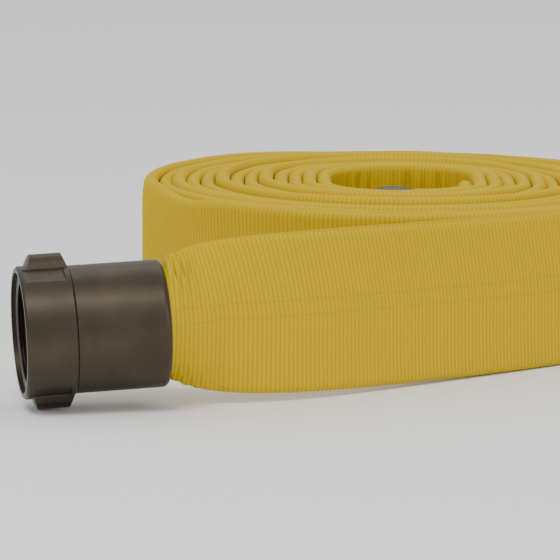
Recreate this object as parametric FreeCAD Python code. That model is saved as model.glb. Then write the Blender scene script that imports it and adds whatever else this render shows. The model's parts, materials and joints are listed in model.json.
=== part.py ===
"""A rolled double-jacket fire hose with its two couplings.

The hose is a flat woven tube standing on its edge. It starts in a male coupling that lies in the
middle of the roll, winds clockwise (seen from above) in a spiral, and leaves the roll as a short tail
that ends in a female swivel coupling. Millimetres, +Z up. It is built about the roll's centre, and
then moved so that its origin is the bottom centre of its bounding box.
"""

import FreeCAD, Part
import math
import os

V = FreeCAD.Vector
UP = V(0, 0, 1)

# hose, flat and empty
WIDTH = 78.0
THICKNESS = 6.0
OUTER_JACKET = 1.1
INNER_JACKET = 1.2
LINING = 0.5
LAYER_GAP = 0.05
HALF_WIDTH = WIDTH / 2
HALF_THICKNESS = THICKNESS / 2

# hose, round where a coupling holds it
ROUND_R = 26.9

# spiral: half turns about two centres, with straights between them that shorten towards the outside
FIRST_X = 34.5
PITCH = 7.56
HALF_TURNS = 26
FIRST_STRAIGHT = 17.0
LEAVE_DEG = 50.0

# tail: the points of its route after the roll, in plan; the last one is the mouth of the female bowl
TAIL_ROUTE = [(27.2, -151.4), (-36.0, -202.0), (-80.0, -223.0), (-116.2, -229.5)]
ARC_SHARE = 0.45
TAIL_END_Z = 39.5
TAIL_DROOP_DEG = 2.5

# how the tail opens: (distance from the bowl's mouth, half height, half thickness); at the mouth it is round
TAIL_OPENING = [(75.0, 39.0, 3.6), (50.0, 38.2, 5.6), (36.5, 37.0, 8.0), (22.5, 35.8, 10.5),
                (13.0, 34.0, 13.5), (7.5, 32.0, 17.0)]
TAIL_FLAT_END = 95.0

# head of the hose: its turn out of the male coupling, with each station's height above the ground
HEAD_STRAIGHT = 5.5
HEAD_RISE = 5.0
HEAD_FIRST = (31.5, 17.0, 8.0)
HEAD_STATIONS = [(40.0, 34.5, 11.5, 1.0), (40.0, 36.5, 8.0, 0.2), (40.0, 39.0, 3.0, 0.0)]
MALE_MOUTH_Y = 18.0

# couplings, measured along the axis from the mouth of the bowl (w = 0)
EDGE = 0.6
BOWL_R = 30.1
BOWL_BORE = 26.95
BOWL_LEAD = (0.8, 1.2)
MOUTH_ROUND = 2.6
WATERWAY_R = 19.3
RING_WALL = 1.6
RING_START = 2.0
TAIL_GASKET = 3.0
TAIL_GASKET_WALL = 4.5
GRIP_PITCH = 4.0
GRIP_DEPTH = 0.35

THREAD_PITCH = 2.822
THREAD_DEPTH = 1.9
LAND = 0.6
MALE_THREAD_R = 25.27
FEMALE_THREAD_R = 23.55

FEMALE_BOWL = 44.0
FEMALE_SOCKET = 40.0
SHANK_R = 26.6
SHANK_END = 50.6
RACE_W = 47.3
RACE_PITCH_R = 26.8
RACE_R = 2.0
BALL_R = 1.85
BALLS = 40

NUT_R = 31.3
NUT_START = 44.4
NUT_END = 68.4
NUT_CHAMFER = 1.0
NUT_BORE = 27.0
GASKET_START = 50.7
GASKET_END = 53.7
GASKET_R = 26.7
NUT_THREAD_START = 54.1
NUT_THREAD_END = 66.0
MOUTH_R = 28.4

LUG_R = 36.5
LUG_CROWN_HALF_WIDTH = 7.2
LUG_SHOULDER = 33.0
LUG_HALF_WIDTH = 8.6
LUG_FOOT = 29.5
LUG_SLOPES = (2.8, 3.0)
LUG_ROOT = 3.0
LUG_SINK = 1.0
FLAT_HALF_WIDTH = 19.1
NUT_LUG = (44.4, 64.8)
NUT_FLAT = (47.2, 66.4)
NUT_LUG_TURN = 4.0

PLUG_R = 2.5
PLUG_FIT = 0.02
PLUG_GAP = 0.1
PLUG_SINK = 0.4
PLUG_TURN = 128.0
PLUG_HEX_R = 1.3
PLUG_HEX_DEPTH = 1.2

MALE_LENGTH = 56.0
MALE_SOCKET = 31.0
MALE_SHOULDER = 38.5
MALE_LUG = (27.0, 38.0)
MALE_LUG_TURN = 60.0
MALE_NECK_R = 23.4
MALE_THREAD_START = 40.6
MALE_THREAD_END = 54.8

# each layer's depths below the hose's outer surface
INNER_DEPTH = OUTER_JACKET + LAYER_GAP
LINING_DEPTH = INNER_DEPTH + INNER_JACKET + LAYER_GAP
LAYERS = {
    "outer_jacket": (0.0, OUTER_JACKET),
    "inner_jacket": (INNER_DEPTH, INNER_DEPTH + INNER_JACKET),
    "lining": (LINING_DEPTH, LINING_DEPTH + LINING),
}


class Frame:
    """A place on the hose's middle line: a point, the way on, and the way up across the hose."""

    def __init__(self, point, along, up=UP):
        self.point = point
        self.along = along
        self.up = up
        self.side = up.cross(along)

    def at(self, side, up):
        return self.point + self.side * side + self.up * up

    def ahead(self, length):
        return Frame(self.point + self.along * length, self.along, self.up)

    def right(self, radius, degrees):
        """The frame after a level turn to the right."""
        centre = self.point - self.side * radius
        turn = FreeCAD.Rotation(UP, -degrees)
        return Frame(centre + turn.multVec(self.point - centre), turn.multVec(self.along), self.up)


def flat_section(frame, half_height, half_thickness):
    """The outline of the flat hose: two straight sides joined by half-round folds."""
    t = half_thickness
    h = half_height - half_thickness
    top = Part.Arc(frame.at(-t, h), frame.at(0, h + t), frame.at(t, h))
    left = Part.LineSegment(frame.at(t, h), frame.at(t, -h))
    bottom = Part.Arc(frame.at(t, -h), frame.at(0, -h - t), frame.at(-t, -h))
    right = Part.LineSegment(frame.at(-t, -h), frame.at(-t, h))
    return Part.Wire([top.toShape(), left.toShape(), bottom.toShape(), right.toShape()])


def round_section(frame, radius):
    """The outline of the round hose, in four arcs that match the flat outline's four edges."""
    edges = []
    for quarter in range(4):
        turns = [math.radians(45 - 90 + 90 * quarter + part) for part in (90, 135, 180)]
        points = [frame.at(-radius * math.cos(a), radius * math.sin(a)) for a in turns]
        edges.append(Part.Arc(*points).toShape())
    return Part.Wire(edges)


def section(frame, size, depth):
    """The outline at a station, moved in from the hose's outer surface by depth."""
    if len(size) == 1:
        return round_section(frame, size[0] - depth)
    return flat_section(frame, size[0] - depth, size[1] - depth)


FLAT = (HALF_WIDTH, HALF_THICKNESS)
ROUND = (ROUND_R,)


class Hose:
    """The steps of a stretch of hose, from which each of its layers is made as one closed solid."""

    def __init__(self, frame, size):
        self.start = (frame, size)
        self.frame = frame
        self.size = size
        self.steps = []
        self.length = 0.0

    def straight(self, length):
        self.steps.append(("straight", self.frame, self.size, length))
        self.frame = self.frame.ahead(length)
        self.length += length

    def turn(self, radius, degrees):
        self.steps.append(("turn", self.frame, self.size, (radius, degrees)))
        self.frame = self.frame.right(radius, degrees)
        self.length += radius * math.radians(degrees)

    def change(self, stations):
        """A loft through stations of (frame, size)."""
        stations = [(self.frame, self.size)] + stations
        self.steps.append(("change", None, None, stations))
        for before, after in zip(stations, stations[1:]):
            self.length += (after[0].point - before[0].point).Length
        self.frame, self.size = stations[-1]

    def step_faces(self, step, depth):
        kind, frame, size, how = step
        if kind == "change":
            return Part.makeLoft([section(f, s, depth) for f, s in how], False, True).Faces
        wire = section(frame, size, depth)
        if kind == "straight":
            return wire.extrude(frame.along * how).Faces
        radius, degrees = how
        return wire.revolve(frame.point - frame.side * radius, UP, -degrees).Faces

    def cap(self, frame, size, depths):
        outer, inner = [Part.Face(section(frame, size, depth)) for depth in depths]
        return outer.cut(inner).Faces

    def layer(self, depths):
        """One layer of the hose's wall, between two depths below its outer surface."""
        faces = self.cap(*self.start, depths) + self.cap(self.frame, self.size, depths)
        for step in self.steps:
            for depth in depths:
                faces += self.step_faces(step, depth)
        shell = Part.makeCompound(faces)
        shell.sewShape()
        solid = Part.Solid(shell.Shells[0])
        if solid.Volume < 0:
            solid.reverse()
        return solid


def spiral_radius(half_turn):
    return FIRST_X + PITCH / 4 + half_turn * PITCH / 2


def spiral_straight(half_turn):
    return FIRST_STRAIGHT * (1 - half_turn / HALF_TURNS)


def head_frame():
    """The hose's inner end: it points along +Y, on the male coupling's axis, above the roll's middle."""
    return Frame(V(-PITCH / 4, MALE_MOUTH_Y, HALF_WIDTH + HEAD_RISE), V(0, 1, 0))


def standing(frame, half_height, clearance):
    """The frame at the level where hose of this height clears the ground by the clearance."""
    return Frame(V(frame.point.x, frame.point.y, half_height + clearance), frame.along)


def roll_hose():
    """From inside the male coupling, round the spiral, to where the hose leaves the roll at the front."""
    mouth = head_frame()
    hose = Hose(mouth.ahead(TAIL_GASKET - MALE_SOCKET), ROUND)
    hose.straight(MALE_SOCKET - TAIL_GASKET)
    frame = mouth.ahead(HEAD_STRAIGHT)
    radius = (FIRST_X + PITCH / 4) / 2
    stations = []
    for degrees, half_height, half_thickness, clearance in [(0.0, *HEAD_FIRST)] + HEAD_STATIONS:
        frame = frame.right(radius, degrees)
        stations.append((standing(frame, half_height, clearance), (half_height, half_thickness)))
    hose.change(stations)
    hose.turn(radius, 180 - sum(station[0] for station in HEAD_STATIONS))
    hose.straight(hose.frame.point.y + spiral_straight(0))
    for half_turn in range(HALF_TURNS):
        hose.turn(spiral_radius(half_turn), 180)
        hose.straight(spiral_straight(half_turn) + spiral_straight(half_turn + 1))
    hose.turn(spiral_radius(HALF_TURNS), LEAVE_DEG)
    return hose


def tail_path(start):
    """The tail's runs and the arcs that join them, as steps of (length, degrees to the right)."""
    points = [start] + [V(x, y, start.z) for x, y in TAIL_ROUTE]
    runs = [after - before for before, after in zip(points, points[1:])]
    steps = []
    used = 0.0
    for run, following in zip(runs, runs[1:]):
        turn = run.getAngle(following)
        degrees = math.degrees(turn)
        reach = ARC_SHARE * min(run.Length, following.Length)
        radius = reach / math.tan(turn / 2)
        print("tail run %.1f mm, arc radius %.0f mm, turn %.1f degrees" % (run.Length, radius, degrees))
        steps += [(run.Length - used - reach, 0.0), (radius * turn, degrees)]
        used = reach
    steps.append((runs[-1].Length - used, 0.0))
    return steps


def first_part(steps, length):
    """The steps up to a length along them, the last one cut short."""
    kept = []
    for step_length, degrees in steps:
        share = min(1.0, length / step_length)
        kept.append((step_length * share, degrees * share))
        length -= step_length
        if length <= 0:
            break
    return kept


def walk(frame, steps):
    for length, degrees in steps:
        frame = frame.right(length / math.radians(degrees), degrees) if degrees else frame.ahead(length)
    return frame


def tail_hose(frame):
    """From the roll into the female coupling: flat at first, then opening to round at the bowl's mouth."""
    path = tail_path(frame.point)
    whole = sum(length for length, degrees in path)
    hose = Hose(frame, FLAT)
    for length, degrees in first_part(path, whole - TAIL_FLAT_END):
        if degrees:
            hose.turn(length / math.radians(degrees), degrees)
        else:
            hose.straight(length)
    stations = []
    for distance, half_height, half_thickness in TAIL_OPENING:
        stations.append((walk(frame, first_part(path, whole - distance)), (half_height, half_thickness)))
    mouth = droop(walk(frame, path))
    hose.change(stations + [(mouth, ROUND)])
    hose.straight(FEMALE_SOCKET - TAIL_GASKET)
    return hose, mouth


def droop(frame):
    """The mouth of the female bowl: it sits a little high and points a little down, to rest on its lug."""
    tilt = FreeCAD.Rotation(frame.side, TAIL_DROOP_DEG)
    point = V(frame.point.x, frame.point.y, TAIL_END_Z)
    return Frame(point, tilt.multVec(frame.along), tilt.multVec(frame.up))


def turned(outline):
    """A solid of revolution about +Z from an outline of (radius, w) points."""
    wire = Part.makePolygon([V(r, 0, w) for r, w in outline + outline[:1]])
    return Part.Face(wire).revolve(V(), UP, 360)


def ring(inner, outer, w0, w1):
    return turned([(inner, w0), (outer, w0), (outer, w1), (inner, w1)])


def place(shape, mouth):
    """Puts a coupling piece, made about +Z from w = 0, on the hose at the bowl's mouth."""
    side = mouth.side
    matrix = FreeCAD.Matrix(side.x, mouth.up.x, mouth.along.x, mouth.point.x,
                            side.y, mouth.up.y, mouth.along.y, mouth.point.y,
                            side.z, mouth.up.z, mouth.along.z, mouth.point.z)
    shape.Placement = FreeCAD.Placement(matrix)
    return shape


def thread_lands(crest, root, w0, w1):
    """The outline of a thread as rings: a round land at each crest, and a V between them."""
    turns = int((w1 - w0 - LAND) / THREAD_PITCH)
    pitch = (w1 - w0 - LAND) / turns
    points = []
    for turn in range(turns):
        w = w0 + turn * pitch
        points += [(crest, w), (crest, w + LAND), (root, w + pitch / 2), (root, w + pitch / 2 + LAND)]
    return points + [(crest, w1 - LAND), (crest, w1)]


def lug(spans, turn):
    """Two rocker lugs, opposite each other: ridges with a rounded crown and steep flanks."""
    start, end = spans
    foot = V(LUG_HALF_WIDTH, LUG_FOOT, start)
    shoulder = V(LUG_CROWN_HALF_WIDTH, LUG_SHOULDER, start)
    root = V(LUG_HALF_WIDTH, LUG_FOOT - LUG_ROOT, start)
    right = [root, foot, shoulder]
    left = [V(-corner.x, corner.y, start) for corner in right]
    outline = [Part.LineSegment(before, after) for before, after in zip(right, right[1:])]
    outline.append(Part.Arc(shoulder, V(0, LUG_R, start), left[2]))
    outline += [Part.LineSegment(left[2], left[1]), Part.LineSegment(left[1], left[0])]
    outline.append(Part.LineSegment(left[0], root))
    ridge = Part.Face(Part.Wire([edge.toShape() for edge in outline])).extrude(V(0, 0, end - start))
    top = LUG_R + LAYER_GAP
    ends = turned([(root.y, start), (BOWL_R, start), (top, start + LUG_SLOPES[0]), (top, end - LUG_SLOPES[1]),
                   (BOWL_R, end), (root.y, end)])
    ridge = ridge.common(ends)
    ridge.rotate(V(), UP, turn)
    other = ridge.copy()
    other.rotate(V(), UP, 180)
    return ridge.fuse(other)


def lug_flats(spans, turn):
    """What is milled off the nut to leave a flat along both sides of each lug."""
    start, end = spans
    flats = []
    for side in (1, -1):
        inner = V(side * LUG_HALF_WIDTH, LUG_FOOT, start)
        outer = V(side * FLAT_HALF_WIDTH, math.sqrt(NUT_R ** 2 - FLAT_HALF_WIDTH ** 2), start)
        corners = [inner, outer, V(outer.x, LUG_R, start), V(inner.x, LUG_R, start), inner]
        for opposite in (0, 180):
            flat = Part.Face(Part.makePolygon(corners)).extrude(V(0, 0, end - start))
            flat.rotate(V(), UP, turn + opposite)
            flats.append(flat)
    return flats


def bowl(socket):
    """The outline of a bowl's outside, and its bore with ring grooves that grip the hose."""
    outside = turned([(0, 0), (BOWL_R, 0), (BOWL_R, socket), (0, socket)])
    rim = [edge for edge in outside.Edges if edge.BoundBox.ZMax < EDGE and edge.BoundBox.XLength > BOWL_R]
    outside = outside.makeFillet(MOUTH_ROUND, rim)
    lead_r = BOWL_BORE + BOWL_LEAD[0]
    bore = [(0, -EDGE), (lead_r, -EDGE), (lead_r, 0), (BOWL_BORE, BOWL_LEAD[1])]
    w = 2 * GRIP_PITCH
    while w < socket - TAIL_GASKET - GRIP_PITCH:
        bore += [(BOWL_BORE, w - 2 * GRIP_DEPTH), (BOWL_BORE + GRIP_DEPTH, w), (BOWL_BORE, w + LAYER_GAP)]
        w += GRIP_PITCH
    bore += [(BOWL_BORE, socket), (0, socket)]
    return outside, turned(bore)


def race(centre_w):
    return Part.makeTorus(RACE_PITCH_R, RACE_R, V(0, 0, centre_w), UP)


def female_bowl():
    """The bowl and the shank on which the swivel nut turns."""
    outside, bore = bowl(FEMALE_SOCKET)
    body = ring(WATERWAY_R, BOWL_R, FEMALE_SOCKET, FEMALE_BOWL)
    shank = turned([(WATERWAY_R, FEMALE_BOWL), (SHANK_R, FEMALE_BOWL), (SHANK_R, SHANK_END - EDGE),
                    (SHANK_R - EDGE, SHANK_END), (WATERWAY_R, SHANK_END)])
    return outside.cut(bore).fuse([body, shank]).removeSplitter().cut(race(RACE_W))


def plug_axis():
    turn = math.radians(PLUG_TURN)
    return V(math.cos(turn), math.sin(turn), 0)


def plug_rod(radius, start, end):
    return Part.makeCylinder(radius, end - start, plug_axis() * start + V(0, 0, RACE_W), plug_axis())


def swivel_nut():
    """The nut that turns on the shank: ball race, gasket seat, thread, and two rocker lugs."""
    outline = [(NUT_R, NUT_START + EDGE), (NUT_R, NUT_END - NUT_CHAMFER), (NUT_R - NUT_CHAMFER, NUT_END)]
    root = FEMALE_THREAD_R + THREAD_DEPTH
    outline += [(MOUTH_R, NUT_END), (MOUTH_R, NUT_THREAD_END + EDGE), (root, NUT_THREAD_END + EDGE)]
    outline += thread_lands(FEMALE_THREAD_R, root, NUT_THREAD_START, NUT_THREAD_END)[::-1]
    outline += [(NUT_BORE, NUT_THREAD_START), (NUT_BORE, NUT_START), (NUT_R - EDGE, NUT_START)]
    lugs = lug(NUT_LUG, NUT_LUG_TURN).cut(Part.makeCylinder(NUT_R - 2 * LUG_SINK, NUT_END))
    nut = turned(outline).cut(lug_flats(NUT_FLAT, NUT_LUG_TURN)).fuse(lugs)
    return nut.cut(race(RACE_W)).cut(plug_rod(PLUG_R + PLUG_FIT, SHANK_R, LUG_R))


def ball_race_plug():
    """The screw that closes the hole through which the balls are loaded."""
    end = NUT_R - PLUG_SINK
    plug = plug_rod(PLUG_R, RACE_PITCH_R + RACE_R + PLUG_GAP, end)
    return plug.cut(plug_rod(PLUG_HEX_R, end - PLUG_HEX_DEPTH, NUT_R))


def swivel_balls():
    balls = []
    for number in range(BALLS):
        turn = 2 * math.pi * number / BALLS
        centre = V(RACE_PITCH_R * math.cos(turn), RACE_PITCH_R * math.sin(turn), RACE_W)
        balls.append(Part.makeSphere(BALL_R, centre))
    return Part.makeCompound(balls)


def swivel_gasket():
    """The washer against which the mating coupling seals, with a rounded lip on its bore."""
    lip_r = WATERWAY_R + EDGE
    outline = [(lip_r, GASKET_START), (GASKET_R, GASKET_START), (GASKET_R, GASKET_END)]
    outline += [(lip_r, GASKET_END), (WATERWAY_R, GASKET_END - EDGE), (WATERWAY_R, GASKET_START + EDGE)]
    return turned(outline)


def expansion_ring(socket):
    """The brass ring that is swollen inside the hose to grip it in the bowl."""
    outer = ROUND_R - LAYERS["lining"][1] - LAYER_GAP
    inner = outer - RING_WALL
    end = socket - TAIL_GASKET
    return turned([(inner + EDGE, RING_START), (outer, RING_START), (outer, end), (inner, end),
                   (inner, RING_START + EDGE)])


def tail_gasket(socket):
    """The rubber ring between the hose's end and the bowl's shoulder."""
    return ring(ROUND_R - TAIL_GASKET_WALL, ROUND_R, socket - TAIL_GASKET + LAYER_GAP, socket - LAYER_GAP)


def male_coupling():
    """The bowl, two rocker lugs and the male thread, in one piece."""
    outside, bore = bowl(MALE_SOCKET)
    root = MALE_THREAD_R - THREAD_DEPTH
    outline = [(WATERWAY_R, MALE_SOCKET), (BOWL_R, MALE_SOCKET), (BOWL_R, MALE_SHOULDER)]
    outline += [(MALE_NECK_R, MALE_SHOULDER), (MALE_NECK_R, MALE_THREAD_START - EDGE)]
    outline += thread_lands(MALE_THREAD_R, root, MALE_THREAD_START, MALE_THREAD_END)
    outline += [(root - EDGE, MALE_LENGTH - EDGE), (root - 2 * EDGE, MALE_LENGTH), (WATERWAY_R, MALE_LENGTH)]
    lugs = lug(MALE_LUG, MALE_LUG_TURN).cut(Part.makeCylinder(BOWL_R - LUG_SINK, MALE_LENGTH))
    return outside.cut(bore).fuse(turned(outline)).removeSplitter().fuse(lugs)


def build():
    pieces = {}
    roll = roll_hose()
    tail, female_mouth = tail_hose(roll.frame)
    for name, depths in LAYERS.items():
        pieces[name + "_roll"] = roll.layer(depths)
        pieces[name + "_tail"] = tail.layer(depths)
    male_mouth = head_frame()
    male_mouth = Frame(male_mouth.point, male_mouth.along * -1)
    for name, shape in {
        "female_bowl": female_bowl(),
        "swivel_nut": swivel_nut(),
        "ball_race_plug": ball_race_plug(),
        "swivel_balls": swivel_balls(),
        "swivel_gasket": swivel_gasket(),
        "female_expansion_ring": expansion_ring(FEMALE_SOCKET),
        "female_tail_gasket": tail_gasket(FEMALE_SOCKET),
    }.items():
        pieces[name] = place(shape, female_mouth)
    for name, shape in {
        "male_coupling": male_coupling(),
        "male_expansion_ring": expansion_ring(MALE_SOCKET),
        "male_tail_gasket": tail_gasket(MALE_SOCKET),
    }.items():
        pieces[name] = place(shape, male_mouth)
    print("hose length: roll %.1f, tail %.1f" % (roll.length, tail.length))
    return pieces, female_mouth, male_mouth


def main():
    os.makedirs("parts", exist_ok=True)
    pieces, female_mouth, male_mouth = build()
    box = Part.makeCompound(list(pieces.values())).optimalBoundingBox(False, False)
    shift = V(-box.Center.x, -box.Center.y, -box.ZMin)
    for name, shape in pieces.items():
        shape.translate(shift)
        shape.exportStep("parts/%s.step" % name)
        print("%-24s solids %2d valid %s" % (name, len(shape.Solids), shape.isValid()), round(shape.Volume))
    print("box", box.XLength, box.YLength, box.ZLength, "roll centre", shift)
    for name, mouth in (("female", female_mouth), ("male", male_mouth)):
        print(name, "mouth", mouth.point + shift, "axis", mouth.along)


main()
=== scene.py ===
"""Looks of the rolled fire hose: its ribbed jacket in the roll and the tail, and the couplings' finishes."""

import bpy
import json
import math
import numpy as np
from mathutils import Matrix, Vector


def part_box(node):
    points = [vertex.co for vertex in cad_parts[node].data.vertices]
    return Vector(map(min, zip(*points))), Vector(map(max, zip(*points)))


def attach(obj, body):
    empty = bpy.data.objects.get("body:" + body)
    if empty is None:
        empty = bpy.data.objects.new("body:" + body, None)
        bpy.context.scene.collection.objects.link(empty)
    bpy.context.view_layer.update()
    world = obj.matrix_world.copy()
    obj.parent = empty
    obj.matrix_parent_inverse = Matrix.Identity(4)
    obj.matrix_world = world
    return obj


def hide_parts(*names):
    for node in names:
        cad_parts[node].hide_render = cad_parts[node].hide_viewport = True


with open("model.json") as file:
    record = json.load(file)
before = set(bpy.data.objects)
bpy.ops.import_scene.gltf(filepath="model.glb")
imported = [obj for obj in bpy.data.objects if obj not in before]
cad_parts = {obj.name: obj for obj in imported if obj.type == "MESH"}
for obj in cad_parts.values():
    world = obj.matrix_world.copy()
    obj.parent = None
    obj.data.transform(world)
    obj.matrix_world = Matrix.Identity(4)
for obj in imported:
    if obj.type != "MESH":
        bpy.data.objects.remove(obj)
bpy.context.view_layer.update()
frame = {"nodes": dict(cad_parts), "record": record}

MM = 0.001

# the flat hose and its spiral, as the CAD has them
WIDTH = 78.0 * MM
ROUND_R = 26.8 * MM
FIRST_X = 34.5 * MM
PITCH = 7.56 * MM
HALF_TURNS = 26
FIRST_STRAIGHT = 17.0 * MM
LEAVE_DEG = 50.0
MALE_MOUTH_Y = 18.0 * MM
HEAD_STRAIGHT = 5.5 * MM
FEMALE_SOCKET = 37.0 * MM
MALE_SOCKET = 28.0 * MM
WALL = 2.8 * MM
TAIL_RISE = 2.6 * MM

# the tail's route after the roll, about the roll's centre, as part.py has it
TAIL_ROUTE = [(27.2, -151.4), (-36.0, -202.0), (-80.0, -223.0), (-116.2, -229.5)]
COIL_STEPS = 6

# weave
RIB = 2.3 * MM
RIB_HEIGHT = 0.16 * MM
FOLD_RIBS = 0.35
YARN = 1.15 * MM
FACE_POINTS = 11
FOLD_POINTS = 9
FOLD_T = 7.1 * MM
FACE_T = 5.8 * MM
FOLD_FADE = 14 * MM

# the roll's centre, from the male coupling that lies in it
male_low, male_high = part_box("male_coupling")
CENTRE = Vector(((male_low.x + male_high.x) / 2 + PITCH / 4, male_high.y - MALE_MOUTH_Y, 0))

MALE_Z = (male_low.z + male_high.z) / 2

# the female coupling's line, from the bowl's mouth out through the nut
SWIVEL = {joint["name"]: joint for joint in frame["record"]["behaviour"]["joints"]}["swivel"]
RACE_W = 47.3 * MM
AXIS = np.array(SWIVEL["axis"])
MOUTH = np.array(SWIVEL["pos_m"]) - AXIS * RACE_W

rng = np.random.default_rng(11)


def smooth(low, high, value):
    """0 below low, 1 above high, and an even curve between."""
    t = np.clip((value - low) / (high - low), 0.0, 1.0)
    return t * t * (3 - 2 * t)


def wander(length, spacing, size):
    """A smooth random function of the length along the hose, within about +-size."""
    knots = np.arange(-2, int(length / spacing) + 4) * spacing
    values = rng.uniform(-size, size, len(knots))

    def at(s):
        place = np.clip((s - knots[0]) / spacing, 0, len(knots) - 2)
        low = np.floor(place).astype(int)
        t = place - low
        t = t * t * (3 - 2 * t)
        return values[low] * (1 - t) + values[low + 1] * t
    return at


# ---------------------------------------------------------------- the hose's middle line

def spiral_radius(half_turn):
    return FIRST_X + PITCH / 4 + half_turn * PITCH / 2


def spiral_straight(half_turn):
    return FIRST_STRAIGHT * (1 - half_turn / HALF_TURNS)


def roll_steps():
    """The roll's line from the male coupling to its back: (length, radius) steps, radius 0 being straight."""
    head = (FIRST_X + PITCH / 4) / 2
    steps = [(HEAD_STRAIGHT, 0.0), (math.pi * head, head)]
    steps.append((MALE_MOUTH_Y + HEAD_STRAIGHT + spiral_straight(0), 0.0))
    for half_turn in range(HALF_TURNS - 1):
        radius = spiral_radius(half_turn)
        steps.append((math.pi * radius, radius))
        steps.append((spiral_straight(half_turn) + spiral_straight(half_turn + 1), 0.0))
    radius = spiral_radius(HALF_TURNS - 1)
    steps.append((math.pi / 2 * radius, radius))
    return steps


class Line:
    """A level line that is known as close points: its place and heading at any length along it."""

    def __init__(self, points, before=0.0):
        steps = np.hypot(*np.diff(points, axis=0).T)
        self.points = points
        self.lengths = np.concatenate([[0.0], np.cumsum(steps)])
        self.whole = self.lengths[-1]
        self.before = before
        slopes = np.diff(points, axis=0) / steps[:, None]
        headings = np.unwrap(np.arctan2(slopes[:, 1], slopes[:, 0]))
        middles = (self.lengths[1:] + self.lengths[:-1]) / 2
        self.middles = np.concatenate([[0.0], middles, [self.whole]])
        first = headings[0] - (headings[1] - headings[0]) / 2
        last = headings[-1] + (headings[-1] - headings[-2]) / 2
        self.headings = np.concatenate([[first], headings, [last]])

    def place(self, s):
        x = np.interp(s, self.lengths, self.points[:, 0])
        y = np.interp(s, self.lengths, self.points[:, 1])
        over = s - np.clip(s, 0.0, self.whole)
        heading = self.heading(s)
        return x + over * np.cos(heading), y + over * np.sin(heading)

    def heading(self, s):
        return np.interp(s, self.middles, self.headings)


def roll_line(spacing):
    """The roll's line, worked out from its steps."""
    x, y, heading = -PITCH / 4, MALE_MOUTH_Y, math.pi / 2
    points = [(x, y)]
    for length, radius in roll_steps():
        count = max(1, int(length / spacing))
        for number in range(count):
            step = length / count
            turn = step / radius if radius else 0.0
            chord = 2 * radius * math.sin(turn / 2) if radius else step
            x += chord * math.cos(heading - turn / 2)
            y += chord * math.sin(heading - turn / 2)
            heading -= turn
            points.append((x, y))
    return Line(np.array(points) + np.array(CENTRE[:2]))


def coil_points(centre, radius, start, span):
    """A coil's control points: outside its circle, so that the smooth line through them follows it."""
    step = span / COIL_STEPS
    points = []
    for number in range(COIL_STEPS):
        angle = start - (number + 0.5) * step
        reach = radius / math.cos(step / 2)
        points.append((centre[0] + reach * math.cos(angle), centre[1] + reach * math.sin(angle)))
    return points


def tail_points():
    """The tail's control points, from the back of the roll to the bowl's mouth."""
    radius = spiral_radius(HALF_TURNS - 1)
    last = spiral_radius(HALF_TURNS)
    back = (PITCH / 4, spiral_straight(HALF_TURNS - 1))
    points = [(back[0], back[1] + radius)]
    points += coil_points(back, radius, math.pi / 2, math.pi / 2)
    points += coil_points((-PITCH / 4, 0.0), last, 0.0, math.radians(LEAVE_DEG))
    points += [(x * MM, y * MM) for x, y in TAIL_ROUTE]
    return points


def spline_curve(name, points, resolution):
    """A smooth NURBS curve in the hose's middle plane."""
    data = bpy.data.curves.new(name, "CURVE")
    data.dimensions = "3D"
    spline = data.splines.new("NURBS")
    spline.points.add(len(points) - 1)
    for point, (x, y) in zip(spline.points, points):
        point.co = (CENTRE.x + x, CENTRE.y + y, WIDTH / 2, 1.0)
    spline.order_u = 3
    spline.use_endpoint_u = True
    spline.resolution_u = resolution
    return bpy.data.objects.new(name, data)


def tail_line():
    """The tail's line, read from its spline."""
    route = spline_curve("tail_route", tail_points(), 24)
    mesh = bpy.data.meshes.new_from_object(route)
    points = np.array([vertex.co[:] for vertex in mesh.vertices])
    bpy.data.objects.remove(route)
    bpy.data.meshes.remove(mesh)
    return points


# ---------------------------------------------------------------- the hose's section

def flat_outline():
    """(side, up) round the flat hose, from the bottom up the left face to the top; its folds are fuller."""
    full = FOLD_T / 2
    h = WIDTH / 2 - full
    fold = np.linspace(0, math.pi / 2, FOLD_POINTS)[1:]
    bottom = [(full * math.cos(a), -h - full * math.sin(a)) for a in fold[::-1]]
    top = [(full * math.cos(a), h + full * math.sin(a)) for a in fold]
    up = h * np.sin(np.linspace(-math.pi / 2, math.pi / 2, FACE_POINTS))
    side = full + (FACE_T / 2 - full) * smooth(h, h - FOLD_FADE, np.abs(up))
    return np.array(bottom + list(zip(side, up)) + top)


FLAT_LEFT = flat_outline()
HEIGHTS = np.concatenate([[0.0], np.cumsum(np.hypot(*np.diff(FLAT_LEFT, axis=0).T))])
FACE_HEIGHT = HEIGHTS[-1]
LEFT = len(FLAT_LEFT)
AROUND = 2 * LEFT - 2

# every ring: up the left face and down the right one
FLAT = np.concatenate([FLAT_LEFT, FLAT_LEFT[-2:0:-1] * (-1, 1)])
HEIGHT = np.concatenate([HEIGHTS, HEIGHTS[-2:0:-1]])
FACE = np.clip(FLAT[:, 0] / (FACE_T / 2), -1, 1)
left_angles = HEIGHTS / FACE_HEIGHT * math.pi
angles = np.concatenate([left_angles, 2 * math.pi - left_angles[-2:0:-1]])
ROUND = np.stack([np.sin(angles), -np.cos(angles)], axis=1)


def outward(shape):
    """Unit normals of closed rings of (side, up) points, one ring per row."""
    ahead = np.roll(shape, -1, axis=1) - np.roll(shape, 1, axis=1)
    normal = np.stack([ahead[..., 1], -ahead[..., 0]], axis=-1)
    return normal / np.maximum(np.linalg.norm(normal, axis=-1, keepdims=True), 1e-9)


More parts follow.
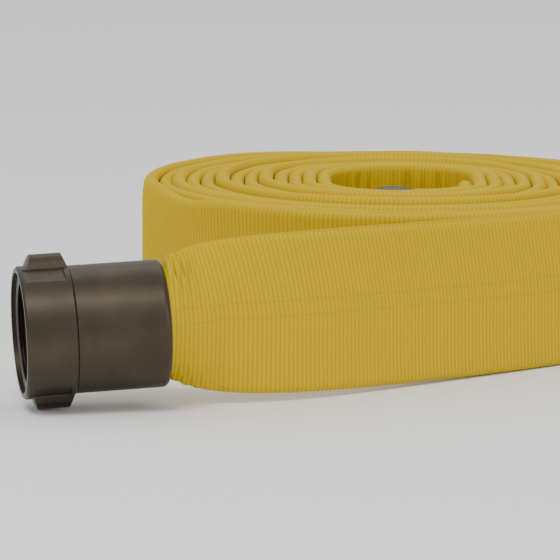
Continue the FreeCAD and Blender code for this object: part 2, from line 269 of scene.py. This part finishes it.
def grid_mesh(name, points, materials, outer_rings):
    """A closed tube of rings as a mesh object; after its outer rings the second material begins."""
    rings, around = points.shape[:2]
    index = np.arange(rings * around).reshape(rings, around)
    a = index[:-1]
    b = index[1:]
    quads = np.stack([a, np.roll(a, -1, axis=1), np.roll(b, -1, axis=1), b], axis=-1).reshape(-1, 4)
    faces = quads.tolist() + [index[0][::-1].tolist(), index[-1].tolist()]
    mesh = bpy.data.meshes.new(name)
    mesh.from_pydata(points.reshape(-1, 3).tolist(), [], faces)
    mesh.shade_smooth()
    obj = bpy.data.objects.new(name, mesh)
    bpy.context.scene.collection.objects.link(obj)
    for material in materials:
        mesh.materials.append(material)
    inside = np.zeros(len(faces), dtype=np.int32)
    inside[outer_rings * around:-2] = 1
    inside[-1] = 1
    mesh.polygons.foreach_set("material_index", inside)
    return obj


def point_values(obj, name, values):
    """A number on each of a mesh's points, for its material."""
    layer = obj.data.attributes.new(name, "FLOAT", "POINT")
    layer.data.foreach_set("value", np.ascontiguousarray(values, dtype=np.float32).ravel())


def sweep(line, s, shape, lift):
    """Points of rings: s and lift are (rings, AROUND), shape is (rings, AROUND, 2)."""
    x, y = line.place(s)
    heading = line.heading(s)
    side = shape[..., 0]
    up = shape[..., 1]
    return np.stack([x - side * np.sin(heading), y + side * np.cos(heading), up + lift], axis=-1)


# ---------------------------------------------------------------- how the hose lies

# how far each turn's top stands up, in millimetres, from the outermost turn in
TURN_LIFTS = [0.0, 0.7, 2.4, 0.8, 1.2, 3.8, 1.0, 1.6, 4.4, 2.2, 2.0, 3.0, 2.8, 3.8, 3.8]
LEFT_TILT = -0.0115
OUTERMOST = 12.5

# the outermost turn at the left, where it is free of the next one
CREST = 1.5 * MM
FREE_CREST = 1.0 * MM
NOTCH = 2.4 * MM
STAND_OFF = 1.0 * MM
NEXT_INWARD = 0.9 * MM
LEAN = 1.8 * MM
LEAN_HEIGHT = 15 * MM

# the hose's narrow, low first hoop, and where it has risen to the other turns' level
HEAD_SQUEEZE = 0.13
HEAD_DROP = 1.5 * MM
HEAD_TURN = 44 * MM
HEAD_END = 86 * MM


def turns_done(line, s):
    """Turns of the spiral at a length: whole numbers at its right, halves at its left."""
    return (-math.pi / 2 - line.heading(s)) / (2 * math.pi)


def crest(turns):
    """The outermost turn stands higher round the left of the roll, with a notch where it comes free."""
    rise = CREST * smooth(12.24, 12.36, turns) + FREE_CREST * smooth(12.40, 12.48, turns)
    notch = NOTCH * smooth(12.37, 12.405, turns) * smooth(12.46, 12.41, turns)
    return (rise - notch) * (1 - 0.65 * smooth(12.62, 12.74, turns))


def turn_lift(turns, x):
    """How far the hose's top stands above its flat width."""
    inward = np.clip(OUTERMOST - turns, 0, len(TURN_LIFTS) - 1.001)
    low = np.floor(inward).astype(int)
    t = smooth(0.35, 0.65, inward - low)
    values = np.array(TURN_LIFTS) * MM
    lift = values[low] * (1 - t) + values[low + 1] * t + crest(turns)
    return np.maximum(0.0, lift + LEFT_TILT * (x - CENTRE.x))


def loosened(turns):
    """How far the outermost turn stands off at the left, and the next one in, up to where they meet."""
    out = STAND_OFF * smooth(12.395, 12.42, turns) * smooth(12.66, 12.46, turns)
    inward = NEXT_INWARD * smooth(11.385, 11.41, turns) * smooth(11.62, 11.5, turns)
    return out - inward


def leaning(turns):
    """How far the top of the outermost turn leans in at the left."""
    share = smooth(12.39, 12.44, turns) * smooth(12.64, 12.54, turns)
    top = smooth(WIDTH / 2 - LEAN_HEIGHT, WIDTH / 2, FLAT[:, 1])
    return LEAN * share[:, None] * top[None]


def opened(distance, reach, power, end):
    """How round the hose is, at a distance from a bowl's mouth: 1 in the bowl, and 0 beyond end."""
    last = math.exp(-(end / reach) ** power)
    curve = np.exp(-(np.maximum(distance, 0) / reach) ** power)
    return np.clip((curve - last) / (1 - last), 0, 1)


def rib_wave(s):
    return -RIB_HEIGHT * np.cos(2 * math.pi * s / RIB)


def section(opening, ribs):
    """Rings of (side, up) points between the flat and the round hose, with the ribs, lower on the folds."""
    opening = opening[:, None, None]
    shape = FLAT[None] * (1 - opening) + ROUND[None] * ROUND_R * opening
    face_share = FOLD_RIBS + (1 - FOLD_RIBS) * np.abs(FACE)[None, :, None]
    return shape + outward(shape) * ribs[:, None, None] * face_share


# grooves in the wall of the centre hole: (length along the hose, half width, depth) in millimetres
GROOVES = [(140, 1.6, 1.5), (172, 1.6, 1.2), (236, 1.8, 1.4), (262, 1.6, 1.2), (281, 1.8, 2.2),
           (289, 2.4, 3.6), (296, 1.8, 2.4), (311, 1.8, 2.2), (318, 3.0, 3.6), (327, 1.8, 2.0),
           (337, 2.4, 3.4), (344, 1.6, 2.4), (352, 1.5, 1.2)]


def grooves(s):
    """How deep the wall is creased at each length, with a low swell beside each crease."""
    depth = np.zeros_like(s)
    for place, width, most in GROOVES:
        off = (s / MM - place) / width
        depth += most * MM * (np.exp(-off ** 2) - 0.4 * np.exp(-(off / 2.4) ** 2))
    return depth


# the length of the roll's outside, whose rings are closer together
OUTER_LENGTH = 1.25

roll = roll_line(1.5 * MM)
gap_noise = wander(9.0, 0.042, 0.3 * MM)
lift_noise = wander(9.0, 0.11, 0.5 * MM)
top_noise = wander(9.0, 0.023, 0.25 * MM)


def seam_share(s):
    """1 at the seam between the roll and the tail, and 0 a little way from it."""
    return np.exp(-((s - roll.whole) / 0.03) ** 2)


def standing(s, turns, x):
    """How far each ring's points are raised; the outer turns' bottoms stay on the ground."""
    lift = np.maximum(turn_lift(turns, x) + lift_noise(s) + top_noise(s), 0.0)
    up = 0.5 + FLAT[None, :, 1] / WIDTH
    outer_share = smooth(10.6, 11.2, turns)[:, None]
    return lift[:, None] * (1 - outer_share * 0.7 * (1 - up))


def lined(shape, first):
    """The rings, and then the lining's rings back from the last to the first of them inside."""
    inside = shape[first:] - outward(shape[first:]) * WALL
    return np.concatenate([shape, inside[::-1]])


def and_back(values, first):
    """A value of each ring, and then of the lining's rings."""
    return np.concatenate([values, values[first:][::-1]])


def weave(obj, s):
    """Gives a hose's points what the weave follows: length along, way up the face, and which face."""
    point_values(obj, "along", np.repeat(s[:, None], AROUND, axis=1))
    point_values(obj, "height", np.repeat(HEIGHT[None], len(s), axis=0))
    point_values(obj, "face", np.repeat(FACE[None], len(s), axis=0))
    return obj


def roll_rings():
    """Lengths of the roll's rings, from its far end back: closer together where they are seen."""
    coarse = np.arange(-int(MALE_SOCKET / RIB) * RIB, roll.whole - OUTER_LENGTH, RIB / 2)
    fine = np.arange(coarse[-1] + RIB / 4, roll.whole, RIB / 4)
    return np.concatenate([coarse, fine[:-1], [roll.whole]])[::-1]


def inner_wall():
    """1 on the upper part of the hose's inner face, and 0 elsewhere."""
    up = FLAT[:, 1] / WIDTH
    return smooth(0.2, -0.6, FACE) * smooth(-0.2, 0.1, up) * smooth(0.49, 0.34, up)


def build_roll(jacket, lining):
    """The hose's rolled length, with the lining that shows in the male coupling."""
    s = roll_rings()
    turns = turns_done(roll, s)
    opening = opened(s, 16 * MM, 1.0, 60 * MM)
    in_bowl = smooth(1.5 * MM, -1.5 * MM, s)
    head = smooth(HEAD_END, HEAD_TURN, s)
    shape = section(opening, rib_wave(s) * (1 - in_bowl))
    shape[..., 1] *= 1 - (HEAD_SQUEEZE * head * smooth(5 * MM, 25 * MM, s))[:, None]
    apart = gap_noise(s) * (1 - seam_share(s)) + loosened(turns)
    shape[..., 0] += (apart * smooth(0.1, 0.4, s))[:, None]
    shape[..., 0] -= leaning(turns)
    shape[..., 0] += grooves(s)[:, None] * inner_wall()[None]
    x, y = roll.place(s)
    head_top = MALE_Z + ROUND_R - HEAD_DROP * smooth(0, 30 * MM, s)
    head_level = (head_top - shape[..., 1].max(axis=1))[:, None]
    level = WIDTH / 2 + standing(s, turns, x) * smooth(0.06, 0.15, s)[:, None]
    level = head_level * head[:, None] + level * (1 - head[:, None])
    level = np.maximum(level, -shape[..., 1].min(axis=1)[:, None])
    first = int(np.argmax(s < 45 * MM))
    ring_s = np.repeat(and_back(s, first)[:, None], AROUND, axis=1)
    points = sweep(roll, ring_s, lined(shape, first), and_back(level, first))
    obj = grid_mesh("hose_roll", points, [jacket, lining], len(s))
    obj.data.flip_normals()
    return weave(obj, and_back(s, first))


tail_xyz = tail_line()
tail = Line(tail_xyz[:, :2])
TAIL_END = tail.whole + FEMALE_SOCKET

# how far the tail's ribs lean back towards the roll at its top, near the bowl
RIB_SLANT = 8 * MM


def hill(value, top, reach):
    """1 at the top, and falling away evenly on both sides."""
    return np.exp(-((value - top) / reach) ** 2)


def dent(up, distance):
    """A shallow hollow across the outer face beside the bowl, and a puffed fold with a crease below it."""
    hollow = 2.6 * MM * hill(up, -6 * MM, 13 * MM) * hill(distance, 31 * MM, 8 * MM)
    puff = 1.8 * MM * hill(up, -24 * MM, 7 * MM) * hill(distance, 14 * MM, 7 * MM)
    crease = 1.4 * MM * smooth(-8 * MM, -20 * MM, up) * hill(distance, 27 * MM, 4 * MM)
    return hollow - puff + crease


def puckers(up, distance):
    """Small slanting folds where the hose is drawn into the bowl."""
    high = smooth(6 * MM, 16 * MM, up) * smooth(34 * MM, 26 * MM, up)
    high += 0.25 * smooth(-16 * MM, -24 * MM, up)
    near = smooth(0, 4 * MM, distance) * smooth(24 * MM, 9 * MM, distance)
    return 1.4 * MM * high * near * np.cos((distance - 0.45 * np.abs(up)) / (0.75 * MM))


def build_tail(jacket, lining):
    """The hose's last length, from the back of the roll into the female bowl."""
    s = np.concatenate([np.arange(0, TAIL_END - RIB / 8, RIB / 4), [TAIL_END]])
    whole_s = s + roll.whole
    distance = tail.whole - s
    in_bowl = smooth(1.5 * MM, -1.5 * MM, distance)
    shape = section(opened(distance, 18 * MM, 0.9, 100 * MM), rib_wave(whole_s) * (1 - in_bowl))
    outer_face = smooth(0.0, 1.0, FACE)[None]
    shape[..., 0] -= dent(shape[..., 1], distance[:, None]) * outer_face
    shape += outward(shape) * puckers(shape[..., 1], distance[:, None])[..., None]
    slant = RIB_SLANT * smooth(0.20, 0.36, s) * smooth(-5 * MM, 30 * MM, distance)
    upper = np.clip(FLAT[:, 1] / (WIDTH / 2), 0, 1) ** 1.3
    ring_s = s[:, None] + slant[:, None] * upper[None] * outer_face
    x, y = tail.place(s)
    turns = OUTERMOST + 0.25 + s / (2 * math.pi * spiral_radius(HALF_TURNS))
    stand = standing(whole_s, turns, x) * (1 - smooth(0.0, 0.2, s))[:, None]
    rise = (MOUTH[2] - WIDTH / 2) * smooth(0.12, 0.0, distance)
    rise += TAIL_RISE * smooth(0.22, 0.06, distance) * (1 - in_bowl)
    level = WIDTH / 2 + stand + rise[:, None]
    first = int(np.argmax(distance < 60 * MM))
    ring_s = and_back(ring_s, first)
    points = sweep(tail, ring_s, lined(shape, first), and_back(level, first))
    points[..., 2] += AXIS[2] * np.maximum(ring_s - tail.whole, 0)
    obj = grid_mesh("hose_tail", points, [jacket, lining], len(s))
    return weave(obj, and_back(whole_s, first))


# ---------------------------------------------------------------- materials

class Nodes:
    """A material's node tree, with short ways to add to it."""

    def __init__(self, name):
        self.material = bpy.data.materials.new(name)
        self.material.use_nodes = True
        self.tree = self.material.node_tree
        self.shader = self.tree.nodes["Principled BSDF"]

    def add(self, kind, **settings):
        node = self.tree.nodes.new(kind)
        for name, value in settings.items():
            setattr(node, name, value)
        return node

    def put(self, value, socket):
        """Sets a socket to a number or a colour, or links it to another node's output."""
        if isinstance(value, bpy.types.NodeSocket):
            self.tree.links.new(value, socket)
        else:
            socket.default_value = value

    def math(self, operation, *values, clamp=False):
        node = self.add("ShaderNodeMath", operation=operation, use_clamp=clamp)
        for socket, value in zip(node.inputs, values):
            self.put(value, socket)
        return node.outputs[0]

    def attribute(self, name):
        return self.add("ShaderNodeAttribute", attribute_name=name).outputs["Fac"]

    def mix(self, share, low, high):
        node = self.add("ShaderNodeMix", data_type="RGBA")
        self.put(share, node.inputs["Factor"])
        self.put(low, node.inputs["A"])
        self.put(high, node.inputs["B"])
        return node.outputs["Result"]

    def noise(self, scale, detail=2.0, coordinate=None, roughness=0.5):
        node = self.add("ShaderNodeTexNoise")
        node.inputs["Scale"].default_value = scale
        node.inputs["Detail"].default_value = detail
        node.inputs["Roughness"].default_value = roughness
        if coordinate is None:
            coordinate = self.add("ShaderNodeTexCoord").outputs["Object"]
        self.put(coordinate, node.inputs["Vector"])
        return node.outputs["Fac"]

    def ramp(self, value, low, high, to_low=0.0, to_high=1.0):
        node = self.add("ShaderNodeMapRange")
        for name, number in (("From Min", low), ("From Max", high), ("To Min", to_low), ("To Max", to_high)):
            node.inputs[name].default_value = number
        self.put(value, node.inputs["Value"])
        return node.outputs["Result"]

    def wave(self, value, pitch):
        """1 at each whole pitch, and 0 halfway between."""
        turn = self.math("MULTIPLY", value, 2 * math.pi / pitch)
        return self.math("MULTIPLY_ADD", self.math("COSINE", turn), 0.5, 0.5)

    def bump(self, height, distance, strength=1.0):
        node = self.add("ShaderNodeBump")
        node.inputs["Distance"].default_value = distance
        node.inputs["Strength"].default_value = strength
        self.put(height, node.inputs["Height"])
        self.put(node.outputs["Normal"], self.shader.inputs["Normal"])

    def set(self, **values):
        for name, value in values.items():
            self.put(value, self.shader.inputs[name.replace("_", " ")])


def srgb(red, green, blue):
    """A colour as a screen shows it, from 0 to 255, in the shader's linear light."""
    levels = []
    for level in (red / 255, green / 255, blue / 255):
        levels.append(level / 12.92 if level <= 0.04045 else ((level + 0.055) / 1.055) ** 2.4)
    return (*levels, 1.0)


HOSE = srgb(204, 174, 0)
# painted shade: a darker yellow for the rib grooves and the gaps between the warp yarns
GROOVE_SHADE = srgb(170, 131, 0)
# painted sheen: a paler, less saturated yellow for the folds, standing in for light on the rims
FOLD_SHEEN = srgb(202, 172, 22)
PATCH = srgb(196, 162, 0)
TRACER = srgb(146, 140, 12)
TRACERS = (47.4 * MM, 40.0 * MM)


def jacket_material():
    """Dyed yarn: a warp over heavy weft ribs, with two tracer yarns; painted shade in the rib grooves and
    warp gaps, painted sheen on the folds.
    """
    m = Nodes("ribbed_jacket")
    along = m.attribute("along")
    height = m.attribute("height")
    face = m.attribute("face")
    groove = m.wave(along, RIB)
    deep = m.math("POWER", groove, 3.0)
    yarn = m.wave(height, YARN)
    patches = m.noise(18.0, 3.0)
    fuzz = m.noise(1800.0, 2.0)
    # painted shade in the rib grooves, darkest at the bottom of each groove
    colour = m.mix(m.math("MULTIPLY", deep, 0.6), HOSE, GROOVE_SHADE)
    colour = m.mix(m.ramp(patches, 0.3, 0.7, 0.0, 0.22), colour, PATCH)
    # painted shade in the gaps between the warp yarns
    colour = m.mix(m.ramp(yarn, 0.4, 1.0, 0.0, 0.10), colour, GROOVE_SHADE)
    # painted sheen on the folds along the top and bottom of the flat hose
    fold = m.math("SUBTRACT", 1.0, m.math("ABSOLUTE", face))
    colour = m.mix(m.math("MULTIPLY", m.ramp(fold, 0.0, 0.75), 0.55), colour, FOLD_SHEEN)
    tracer = 0.0
    for place in TRACERS:
        off = m.math("ABSOLUTE", m.math("SUBTRACT", height, place))
        tracer = m.math("ADD", tracer, m.ramp(off, 0.4 * MM, 0.8 * MM, 1.0, 0.0))
    stitch = m.ramp(m.wave(along, 2 * RIB), 0.2, 0.6, 0.35, 1.0)
    outside = m.ramp(face, 0.5, 0.9)
    shown = m.math("MULTIPLY", m.math("MULTIPLY", tracer, stitch), outside)
    colour = m.mix(m.math("MULTIPLY", shown, 0.22, clamp=True), colour, TRACER)
    m.set(Base_Color=colour, Roughness=m.ramp(fuzz, 0.3, 0.7, 0.68, 0.86))
    m.set(Sheen_Weight=0.03, Sheen_Roughness=0.5)
    m.shader.inputs["Specular IOR Level"].default_value = 0.12
    relief = m.math("MULTIPLY_ADD", groove, -1.0, m.math("MULTIPLY", yarn, -0.35))
    relief = m.math("MULTIPLY_ADD", fuzz, 0.3, relief)
    m.bump(relief, 0.16 * MM)
    return m.material


def axis_length(m, mouth, axis):
    """The distance along a coupling's axis."""
    place = m.add("ShaderNodeTexCoord").outputs["Object"]
    away = m.add("ShaderNodeVectorMath", operation="SUBTRACT")
    m.put(place, away.inputs[0])
    away.inputs[1].default_value = mouth
    dot = m.add("ShaderNodeVectorMath", operation="DOT_PRODUCT")
    m.put(away.outputs["Vector"], dot.inputs[0])
    dot.inputs[1].default_value = axis
    return dot.outputs["Value"]


def anodised_material(name, mouth, axis):
    """Hard-anodised aluminium, brown-grey and satin, with the lathe's fine rings."""
    m = Nodes(name)
    w = axis_length(m, mouth, axis)
    rings = m.add("ShaderNodeTexNoise", noise_dimensions="1D")
    rings.inputs["Scale"].default_value = 2600.0
    rings.inputs["Detail"].default_value = 3.0
    m.put(w, rings.inputs["W"])
    ring = rings.outputs["Fac"]
    clouds = m.noise(55.0, 4.0)
    grain = m.noise(2600.0, 2.0)
    colour = m.mix(m.ramp(clouds, 0.3, 0.7), srgb(64, 58, 48), srgb(76, 69, 57))
    colour = m.mix(m.ramp(ring, 0.35, 0.75, 0.0, 0.3), colour, srgb(92, 84, 72))
    m.set(Base_Color=colour, Metallic=0.9, Roughness=m.ramp(ring, 0.3, 0.7, 0.34, 0.46))
    relief = m.math("MULTIPLY_ADD", grain, 0.5, ring)
    m.bump(relief, 0.02 * MM, 0.6)
    return m.material


def metal_material(name, low, high, roughness):
    m = Nodes(name)
    clouds = m.noise(220.0, 3.0)
    m.set(Base_Color=m.mix(clouds, low, high), Metallic=1.0)
    m.set(Roughness=m.ramp(clouds, 0.3, 0.7, roughness - 0.06, roughness + 0.08))
    m.bump(m.noise(1500.0, 2.0), 0.01 * MM)
    return m.material


def rubber_material(name):
    m = Nodes(name)
    clouds = m.noise(400.0, 3.0)
    m.set(Base_Color=m.mix(clouds, srgb(26, 25, 24), srgb(44, 42, 40)))
    m.set(Roughness=m.ramp(clouds, 0.3, 0.7, 0.55, 0.75))
    m.bump(clouds, 0.03 * MM)
    return m.material


jacket = jacket_material()
rubber = rubber_material("black_rubber")
female_metal = anodised_material("anodised_female", tuple(MOUTH), tuple(AXIS))
male_metal = anodised_material("anodised_male", (0, male_high.y, 0), (0, -1, 0))
brass = metal_material("turned_brass", srgb(178, 142, 84), srgb(198, 164, 102), 0.35)
steel = metal_material("polished_steel", srgb(170, 170, 172), srgb(200, 200, 202), 0.2)

FINISHES = {
    female_metal: ["female_bowl", "swivel_nut"],
    male_metal: ["male_coupling"],
    brass: ["female_expansion_ring", "male_expansion_ring"],
    rubber: ["female_tail_gasket", "male_tail_gasket", "swivel_gasket"],
    steel: ["swivel_balls", "ball_race_plug"],
}
for finish, names in FINISHES.items():
    for name in names:
        for slot in frame["nodes"][name].material_slots:
            slot.material = finish

hose_roll = build_roll(jacket, rubber)
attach(hose_roll, "root")
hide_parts("outer_jacket_roll", "inner_jacket_roll", "lining_roll")

hose_tail = build_tail(jacket, rubber)
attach(hose_tail, "root")
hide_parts("outer_jacket_tail", "inner_jacket_tail", "lining_tail")


# ---------------------------------------------------------------- stage, lights and camera

def area_light(name, place, target, size, power):
    data = bpy.data.lights.new(name, "AREA")
    data.shape = "RECTANGLE"
    data.size, data.size_y = size
    data.energy = power
    light = bpy.data.objects.new(name, data)
    bpy.context.scene.collection.objects.link(light)
    light.location = place
    light.rotation_euler = (Vector(target) - Vector(place)).to_track_quat("-Z", "Y").to_euler()
    return light


floor_mesh = bpy.data.meshes.new("floor")
floor_mesh.from_pydata([(-9, -9, 0), (9, -9, 0), (9, 9, 0), (-9, 9, 0)], [], [(0, 1, 2, 3)])
floor = bpy.data.objects.new("floor", floor_mesh)
bpy.context.scene.collection.objects.link(floor)
paper = Nodes("floor_paper")
paper.set(Base_Color=(0.93, 0.93, 0.92, 1), Roughness=0.9)
floor_mesh.materials.append(paper.material)
floor.location.z = -0.2 * MM

world = bpy.data.worlds.new("studio")
bpy.context.scene.world = world
world.use_nodes = True
world.node_tree.nodes["Background"].inputs["Color"].default_value = (1, 1, 1, 1)
world.node_tree.nodes["Background"].inputs["Strength"].default_value = 0.8

area_light("key", (-0.5, -1.35, 2.1), (0, -0.05, 0.04), (1.3, 0.6), 30)
area_light("fill", (1.5, -1.6, 0.9), (0, 0, 0.04), (1.2, 1.0), 7)
area_light("back", (0.3, 1.2, 2.0), (0, 0.05, 0), (1.4, 1.0), 6)

camera_data = bpy.data.cameras.new("camera")
camera_data.lens = 297
camera_data.sensor_width = 36
camera_data.clip_start = 0.1
camera_data.clip_end = 30
camera = bpy.data.objects.new("camera", camera_data)
bpy.context.scene.collection.objects.link(camera)
camera.location = (CENTRE.x - 0.0614, CENTRE.y - 2.3774, 0.3713)
camera.rotation_euler = (math.radians(81.75), 0, 0)
bpy.context.scene.camera = camera
